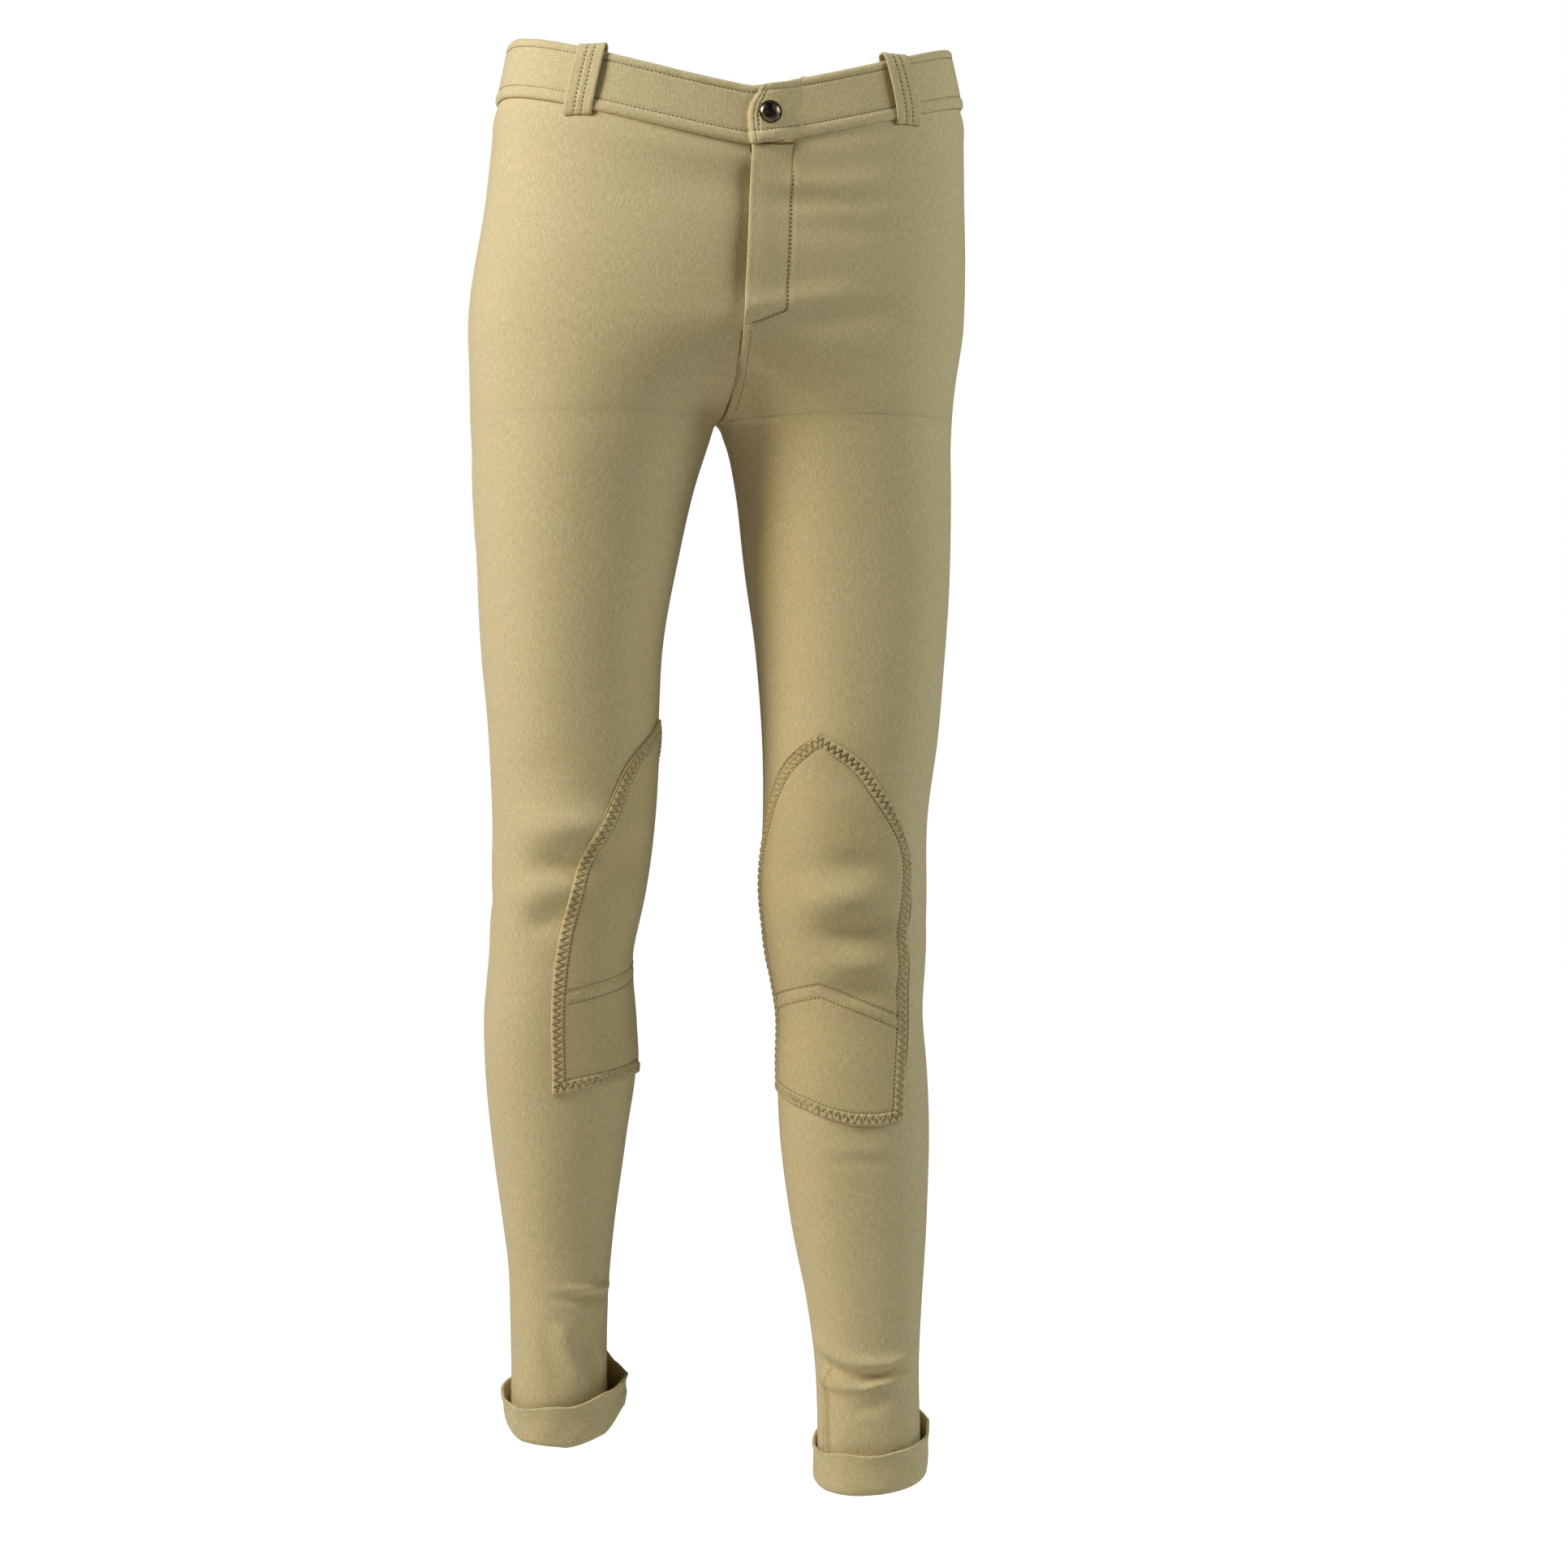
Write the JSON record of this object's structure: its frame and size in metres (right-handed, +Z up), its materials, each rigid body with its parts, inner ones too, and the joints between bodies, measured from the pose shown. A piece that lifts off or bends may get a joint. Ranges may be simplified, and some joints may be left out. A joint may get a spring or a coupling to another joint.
{
  "type": "riding jodhpurs",
  "caption": "Cream stretch-knit riding jodhpurs in worn shape, with snap waistband, zip fly, belt loops, inner-knee patches and turned-up ankle cuffs",
  "frame": {"origin": "middle of the waist opening, level with the top of the waistband at the side seams", "axes": "+Z up towards the waist, the front faces -Y, the wearer's left is +X"},
  "size_m": [0.3424, 0.2318, 0.9861],
  "materials": {
    "stretch_knit": "matte stretch knit with a fine crosswise rib",
    "patch_knit": "the same knit, doubled and lightly brushed",
    "snap_brass": "antique dark brass, polished dome",
    "zip_tape": "woven polyester tape",
    "zip_brass": "antique brass",
    "label_cloth": "blank satin label"
  },
  "bodies": {
    "root": {"waistband_outer": "stretch_knit", "waistband_facing": "stretch_knit", "snap_stud": "snap_brass", "snap_post": "snap_brass", "belt_loop_front_right": "stretch_knit", "belt_loop_front_left": "stretch_knit", "belt_loop_back_right": "stretch_knit", "belt_loop_back_centre": "stretch_knit", "belt_loop_back_left": "stretch_knit", "care_label": "label_cloth", "right_front_panel_thigh": "stretch_knit", "right_front_panel_knee": "stretch_knit", "right_back_panel_thigh": "stretch_knit", "right_back_panel_knee": "stretch_knit", "left_front_panel_thigh": "stretch_knit", "left_front_panel_knee": "stretch_knit", "left_back_panel_thigh": "stretch_knit", "left_back_panel_knee": "stretch_knit", "fly_shield": "stretch_knit", "zip_tape_right": "zip_tape", "zip_tape_left": "zip_tape", "zip_teeth_right": "zip_brass", "zip_teeth_left": "zip_brass", "zip_bottom_stop": "zip_brass", "right_knee_patch_upper": "patch_knit", "left_knee_patch_upper": "patch_knit"},
    "waist_tab": {"waist_tab_outer": "stretch_knit", "waist_tab_facing": "stretch_knit", "snap_cap": "snap_brass", "snap_socket": "snap_brass"},
    "fly_flap_body": {"fly_flap": "stretch_knit", "fly_facing": "stretch_knit"},
    "zip_slider_body": {"zip_slider": "zip_brass"},
    "zip_pull_body": {"zip_pull": "zip_brass"},
    "right_shin": {"right_front_panel_shin": "stretch_knit", "right_back_panel_shin": "stretch_knit", "right_knee_patch_lower": "patch_knit", "right_cuff": "stretch_knit"},
    "left_shin": {"left_front_panel_shin": "stretch_knit", "left_back_panel_shin": "stretch_knit", "left_knee_patch_lower": "patch_knit", "left_cuff": "stretch_knit"}
  },
  "joints": [
    {"name": "waist_tab_fold", "type": "hinge", "parent": "root", "child": "waist_tab", "pos_m": [0.03315, -0.1012, -0.053], "axis": [0, 0.1096, 0.994], "range_deg": [0, 70]},
    {"name": "fly_flap_fold", "type": "hinge", "parent": "root", "child": "fly_flap_body", "pos_m": [0.02495, -0.1075, -0.135], "axis": [0.0546, 0.0401, 0.9977], "range_deg": [0, 60]},
    {"name": "zip_slide", "type": "slide", "parent": "root", "child": "zip_slider_body", "axis": [-0.0546, -0.0424, -0.9976], "range_m": [0, 0.088]},
    {"name": "zip_pull_swing", "type": "hinge", "parent": "zip_slider_body", "child": "zip_pull_body", "pos_m": [0.00613, -0.10214, -0.08715], "axis": [-0.9985, 0, 0.0547], "range_deg": [0, 4]},
    {"name": "right_knee", "type": "hinge", "parent": "root", "child": "right_shin", "pos_m": [-0.11, 0.017, -0.585], "axis": [1, 0, 0], "range_deg": [0, 70], "deforming": ["right_front_panel_knee", "right_back_panel_knee", "right_knee_patch_upper"]},
    {"name": "left_knee", "type": "hinge", "parent": "root", "child": "left_shin", "pos_m": [0.08, -0.024, -0.585], "axis": [1, 0, 0], "range_deg": [0, 70], "deforming": ["left_front_panel_knee", "left_back_panel_knee", "left_knee_patch_upper"]}
  ]
}
